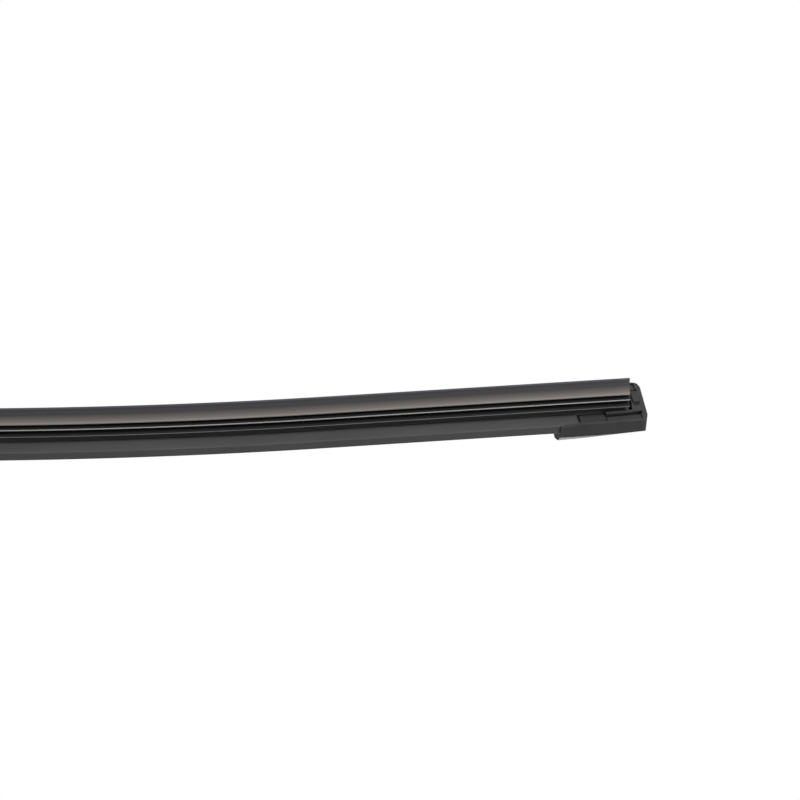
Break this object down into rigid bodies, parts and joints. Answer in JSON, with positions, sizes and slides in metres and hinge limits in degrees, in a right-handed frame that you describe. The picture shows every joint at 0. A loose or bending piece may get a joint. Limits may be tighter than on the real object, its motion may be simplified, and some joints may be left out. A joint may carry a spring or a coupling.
{
  "type": "frameless wiper blade",
  "caption": "Frameless windscreen wiper blade with a curved squeegee, sprung steel rails, finned spoiler, moulded end caps and a swinging adaptor for a hook arm.",
  "frame": {"origin": "centre of the pivot tube, midway along the blade", "axes": "+X along the blade, +Y along the pivot, across the blade, +Z away from the glass, so the wiping lip points down"},
  "size_m": [0.5076, 0.0202, 0.0524],
  "materials": {
    "squeegee_rubber": "satin",
    "rail_steel": "satin",
    "spoiler_plastic": "matte",
    "cap_plastic": "matte",
    "clamp_plastic": "matte",
    "tube_steel": "satin",
    "adaptor_plastic": "matte"
  },
  "bodies": {
    "blade": {"squeegee": "squeegee_rubber", "rail_front": "rail_steel", "rail_rear": "rail_steel", "spoiler_left": "spoiler_plastic", "spoiler_right": "spoiler_plastic", "end_cap_left": "cap_plastic", "end_cap_right": "cap_plastic", "connector_clamp": "clamp_plastic", "pivot_tube": "tube_steel", "connector_shroud": "cap_plastic"},
    "adaptor": {"hook_adaptor": "adaptor_plastic"}
  },
  "joints": [
    {"name": "adaptor_pivot", "type": "hinge", "parent": "blade", "child": "adaptor", "pos_m": [0, 0, 0], "axis": [0, 1, 0], "range_deg": [-12, 12]}
  ]
}
